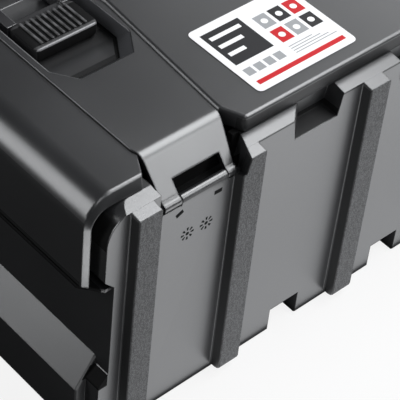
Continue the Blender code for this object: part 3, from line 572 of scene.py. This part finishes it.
class TOOLBOX_OT_handles(bpy.types.Operator):
    """Bails and soft grips"""

    bl_idname = "toolbox.handles"
    bl_label = "Handles"

    def execute(self, context):
        finish = context.scene.toolbox_finish
        nylon = moulded("bail_nylon", finish.bail_colour, finish.satin, finish.edge_radius)
        dress(nylon, *sided("handle_bail"))
        dress(self.rubber(finish), *sided("handle_grip"))
        return {"FINISHED"}

    @staticmethod
    def rubber(finish):
        """Dusty rubber with a painted highlight on the lip and crests, and painted shade on the front
        face and in the valleys between the ribs.
        """
        front, (back, top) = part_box("handle_grip_right")[0][1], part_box("handle_grip_right")[1][1:]
        sheet = Sheet("grip_rubber")
        soft, wear_and_highlight = sheet.edges(finish.edge_radius * GRIP_EDGE)
        dust = sheet.noise(scale=140.0, detail=5.0, rough=0.65)
        fine = sheet.noise(scale=1600.0, detail=2.0, rough=0.6)
        colour = finish.grip_colour
        shade = sheet.mix(dust.ramp(0.4, 0.75) * 0.6, colour, tint(colour, 2.0))
        # Edges lightened: partly rubbed wear, partly a painted highlight.
        shade = sheet.mix(wear_and_highlight * 0.25, shade, tint(colour, 3.0))
        # Painted highlight on the front lip and the rib crests.
        low, high = (top - depth for depth in LIP_DEPTH)
        lip_highlight = (sheet.y > back - LIP_BACK) * sheet.z.within(low, high, 0.0001)
        low, high = (top - depth for depth in CREST_DEPTH)
        crest_highlight = sheet.z.ramp(low, high) * dust.ramp(0.35, 0.65)
        shade = sheet.mix(lip_highlight.peak(crest_highlight * 0.35) * 0.8, shade, LIP_HIGHLIGHT_COLOUR)
        # Painted shade on the front face and in the valleys between the ribs.
        face = (sheet.y > back - FACE_BACK) * (sheet.z < top - FACE_DEPTH)
        low, high = (top - depth for depth in VALLEY_DEPTH)
        valley = sheet.y.within(front + VALLEY_INSET, back - VALLEY_INSET)
        valley = valley * sheet.z.within(low, high)
        surface = {
            "Base Color": shade,
            "Roughness": 0.48 + 0.14 * (dust - 0.5) - lip_highlight * 0.2,
            "Normal": sheet.bump(fine, strength=0.3, distance=BUMP_DEPTH, normal=soft),
            "IOR": RUBBER_IOR,
        }
        return sheet.close(surface, face.peak(valley) * 0.8)


class TOOLBOX_OT_latches(bpy.types.Operator):
    """Latch levers at the front"""

    bl_idname = "toolbox.latches"
    bl_label = "Latches"

    def execute(self, context):
        finish = context.scene.toolbox_finish
        plastic = moulded("latch_plastic", finish.latch_colour, finish.satin, finish.edge_radius)
        dress(plastic, *sided("latch"))
        return {"FINISHED"}


class TOOLBOX_OT_hardware(bpy.types.Operator):
    """Drawn steel of the pins and screws"""

    bl_idname = "toolbox.hardware"
    bl_label = "Pins and screws"

    def execute(self, context):
        finish = context.scene.toolbox_finish
        sheet = Sheet("drawn_steel")
        long = sheet.stretched((40.0, 1500.0, 1500.0))
        lines = sheet.noise(scale=1.0, detail=4.0, rough=0.6, vector=long)
        film = sheet.noise(scale=220.0, detail=3.0, rough=0.6)
        colour = finish.steel_colour
        surface = {
            "Base Color": sheet.mix(film.ramp(0.35, 0.75), tint(colour, 0.8), colour),
            "Metallic": 1.0,
            "Roughness": 0.24 + 0.16 * lines,
            "Normal": sheet.bump(lines, strength=0.2, distance=0.00005),
        }
        steel = sheet.close(surface)
        names = [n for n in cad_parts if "_pin_" in n or n.startswith("strap_screw")]
        dress(steel, *names)
        return {"FINISHED"}


# Print on the label, as shares of its length and depth: left, right, foot and top of each block.
PRINT_PANEL = (0.06, 0.44, 0.40, 0.90)
PRINT_BARS = [(0.10, 0.40 - 0.07 * n, 0.78 - 0.13 * n, 0.83 - 0.13 * n) for n in range(3)]
PRINT_SQUARES = [(0.06 + 0.10 * n, 0.135 + 0.10 * n, 0.22, 0.32) for n in range(4)]
PRINT_LINES = [(0.52, 0.94 - 0.06 * n, 0.20 + 0.034 * n, 0.211 + 0.034 * n) for n in range(4)]
PRINT_RULE = (0.06, 0.94, 0.08, 0.135)
TILE_LEFT, TILE_FOOT = (0.52, 0.67, 0.82), (0.62, 0.38)
TILE_SIZE = (0.12, 0.19)
DISC_RADIUS = 0.036
LABEL_ASPECT = 1.24
PRINT_SHINE = 0.25


class TOOLBOX_OT_label(bpy.types.Operator):
    """Plain printed label: dark panel with bars, tiles and a red rule"""

    bl_idname = "toolbox.label"
    bl_label = "Label"

    def execute(self, context):
        inks = context.scene.toolbox_label
        low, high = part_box("lid_label")
        sheet = Sheet("label_print")
        u = (high[0] - sheet.x) / (high[0] - low[0])
        v = (high[1] - sheet.y) / (high[1] - low[1])
        shade = tuple(inks.paper)
        for mask, ink in self.prints(u, v, inks):
            shade = sheet.mix(mask, shade, tuple(ink))
        fibre = sheet.noise(scale=700.0, detail=3.0, rough=0.6)
        surface = {
            "Base Color": shade,
            "Roughness": 0.34 + 0.08 * (fibre - 0.5),
            "Normal": sheet.bump(fibre, strength=0.12, distance=0.00008),
            "Specular IOR Level": PRINT_SHINE,
        }
        dress(sheet.close(surface), "lid_label")
        return {"FINISHED"}

    @classmethod
    def prints(cls, u, v, inks):
        """Each printed shape as a mask with its ink, from the lowest layer up."""
        yield cls.block(u, v, PRINT_PANEL), inks.ink
        for bar in PRINT_BARS:
            yield cls.block(u, v, bar), inks.paper
        wide, tall = TILE_SIZE
        for column, left in enumerate(TILE_LEFT):
            for row, foot in enumerate(TILE_FOOT):
                tile = (left, left + wide, foot, foot + tall)
                yield cls.block(u, v, tile), (inks.grey, inks.ink, inks.red)[(column + 2 * row) % 3]
                yield cls.disc(u - (left + wide / 2), v - (foot + tall / 2)), inks.paper
        for block in PRINT_SQUARES + PRINT_LINES:
            yield cls.block(u, v, block), inks.grey
        yield cls.block(u, v, PRINT_RULE), inks.red

    @staticmethod
    def block(u, v, sides):
        return u.within(*sides[:2]) * v.within(*sides[2:])

    @staticmethod
    def disc(right, up):
        across = right * LABEL_ASPECT
        return (across * across + up * up) < DISC_RADIUS * DISC_RADIUS


# Stage: the picture's side in pixels, the camera's sensor in millimetres, and lengths in metres.
FRAME_PIXELS = 400
SENSOR = 36.0
CLIP_START = 0.05
FLOOR_HEIGHT = -0.0004
FLOOR_SEEN = ((0.80, 0.80, 0.80), (0.83, 0.83, 0.83))
# Floor colour for everything but the camera: painted shade, as of a floor lying out of the light.
FLOOR_SHADE_IN_REFLECTIONS = (0.08, 0.08, 0.08)
FLOOR_ROUGHNESS = 0.9
FLOOR_GLOW = 0.85
WHITE = (1.0, 1.0, 1.0, 1.0)
LAMP_COLOUR = (0.965, 0.98, 1.0)
UP = (0.0, 0.0, 1.0)
ALONG_X = (1.0, 0.0, 0.0)
AIM = (0.12, 0.13, 0.21)
# Seat, aim, direction of the second side and the two sides of each lamp. Cards lie on the floor.
LAMPS = {
    "top": ((-0.659, 0.161, 1.550), AIM, (0.0, 0.99, -0.1), (0.75, 1.05)),
    "back": ((-0.650, 1.146, 1.072), AIM, (0.0, 0.6, -0.75), (0.75, 0.90)),
    "end": ((1.370, -0.735, 0.700), (0.20, 0.0, 0.18), UP, (0.45, 1.25)),
    "near card": ((-0.23, 0.229, 0.002), (-0.23, 0.229, 1.0), ALONG_X, (0.142, 0.94)),
    "far card": ((-0.23, 0.500, 0.002), (-0.23, 0.500, 1.0), ALONG_X, (0.40, 0.94)),
    "corner card": ((0.372, 0.286, 0.002), (0.372, 0.286, 1.0), (0.71, 0.71, 0.0), (0.06, 0.12)),
    "rim": ((-1.250, -0.720, 0.680), (0.10, 0.0, 0.22), UP, (1.00, 1.10)),
    "fill": ((0.630, 0.980, 1.570), AIM, UP, (0.80, 0.80)),
}


class TOOLBOX_OT_stage(bpy.types.Operator):
    """Pale floor, soft lamps and the camera"""

    bl_idname = "toolbox.stage"
    bl_label = "Stage"

    def execute(self, context):
        stage = context.scene.toolbox_stage
        self.floor(stage)
        self.world(context, stage)
        for name, lamp in LAMPS.items():
            self.lamp(name, *lamp, getattr(stage, name.split()[0] + "_power"))
        self.camera(context, stage)
        return {"FINISHED"}

    def floor(self, stage):
        bm = bmesh.new()
        bmesh.ops.create_grid(bm, x_segments=1, y_segments=1, size=stage.floor_size / 2)
        mesh = bpy.data.meshes.new("floor")
        bm.to_mesh(mesh)
        bm.free()
        floor = bpy.data.objects.new("floor", mesh)
        floor.location.z = FLOOR_HEIGHT
        bpy.context.scene.collection.objects.link(floor)
        sheet = Sheet("pale_floor")
        path = sheet.node("ShaderNodeLightPath", {}, {}, "Is Camera Ray")
        pale = sheet.mix(sheet.noise(scale=30.0, detail=3.0), *FLOOR_SEEN)
        # Pale to the camera, painted shade to reflections and bounced light.
        colour = sheet.mix(path, FLOOR_SHADE_IN_REFLECTIONS, pale)
        surface = {"Base Color": colour, "Roughness": FLOOR_ROUGHNESS}
        matt = sheet.node("ShaderNodeBsdfPrincipled", {}, surface)
        glow = sheet.node("ShaderNodeEmission", {}, {"Color": WHITE, "Strength": 1.0})
        both = sheet.node("ShaderNodeMixShader", {}, {0: path * FLOOR_GLOW, 1: matt, 2: glow})
        sheet.node("ShaderNodeOutputMaterial", {}, {"Surface": both})
        mesh.materials.append(sheet.material)

    def world(self, context, stage):
        """White to the camera and dim to everything else."""
        world = bpy.data.worlds.new("studio")
        world.use_nodes = True
        tree = world.node_tree
        tree.nodes.clear()
        path = tree.nodes.new("ShaderNodeLightPath")
        level = tree.nodes.new("ShaderNodeMapRange")
        level.inputs["To Min"].default_value = stage.world_level
        level.inputs["To Max"].default_value = 1.0
        back = tree.nodes.new("ShaderNodeBackground")
        end = tree.nodes.new("ShaderNodeOutputWorld")
        tree.links.new(path.outputs["Is Camera Ray"], level.inputs["Value"])
        tree.links.new(level.outputs[0], back.inputs["Strength"])
        tree.links.new(back.outputs[0], end.inputs["Surface"])
        context.scene.world = world

    def lamp(self, name, seat, aim, along, size, power):
        """A rectangular lamp that looks at a point, its second side along a direction."""
        light = bpy.data.lights.new(name, "AREA")
        light.shape = "RECTANGLE"
        light.size, light.size_y = size
        light.energy = power
        light.color = LAMP_COLOUR
        lamp = bpy.data.objects.new(name, light)
        back = (Vector(seat) - Vector(aim)).normalized()
        across = Vector(along).cross(back).normalized()
        self.stand(lamp, seat, across, back.cross(across), back)
        lamp.visible_camera = False

    def camera(self, context, stage):
        right = Vector(stage.camera_right)
        up = -Vector(stage.camera_down)
        lens = bpy.data.cameras.new("camera")
        lens.sensor_width = SENSOR
        lens.lens = stage.focal_pixels / FRAME_PIXELS * SENSOR
        lens.clip_start = CLIP_START
        camera = bpy.data.objects.new("camera", lens)
        self.stand(camera, stage.camera_seat, right, up, right.cross(up))
        context.scene.camera = camera
        context.scene.view_settings.view_transform = "Standard"

    @staticmethod
    def stand(thing, seat, right, up, back):
        """Puts a lamp or camera in the scene, with its own axes along three directions."""
        turn = Matrix((right, up, back)).transposed().to_4x4()
        thing.matrix_world = Matrix.Translation(Vector(seat)) @ turn
        bpy.context.scene.collection.objects.link(thing)


class TOOLBOX_PT_panel(bpy.types.Panel):
    """Lists the steps that dress the tool box"""

    bl_idname = "TOOLBOX_PT_panel"
    bl_label = "Tool box"
    bl_space_type = "VIEW_3D"
    bl_region_type = "UI"
    bl_category = "Tool box"

    def draw(self, context):
        for step in STEPS:
            self.layout.operator(step.bl_idname)
        for name in GROUPS:
            group = getattr(context.scene, name)
            column = self.layout.column()
            for setting in group.__annotations__:
                column.prop(group, setting)


GROUPS = {
    "toolbox_finish": ToolBoxFinish,
    "toolbox_label": ToolBoxLabel,
    "toolbox_stage": ToolBoxStage,
}
STEPS = (
    TOOLBOX_OT_tub,
    TOOLBOX_OT_lid,
    TOOLBOX_OT_straps,
    TOOLBOX_OT_handles,
    TOOLBOX_OT_latches,
    TOOLBOX_OT_hardware,
    TOOLBOX_OT_label,
    TOOLBOX_OT_stage,
)


def register():
    for name, group in GROUPS.items():
        bpy.utils.register_class(group)
        setattr(bpy.types.Scene, name, PointerProperty(type=group))
    for step in STEPS:
        bpy.utils.register_class(step)
    bpy.utils.register_class(TOOLBOX_PT_panel)


def unregister():
    bpy.utils.unregister_class(TOOLBOX_PT_panel)
    for step in reversed(STEPS):
        bpy.utils.unregister_class(step)
    for name, group in GROUPS.items():
        delattr(bpy.types.Scene, name)
        bpy.utils.unregister_class(group)


def main():
    register()
    for step in STEPS:
        family, call = step.bl_idname.split(".")
        getattr(getattr(bpy.ops, family), call)()


if __name__ == "__main__":
    main()
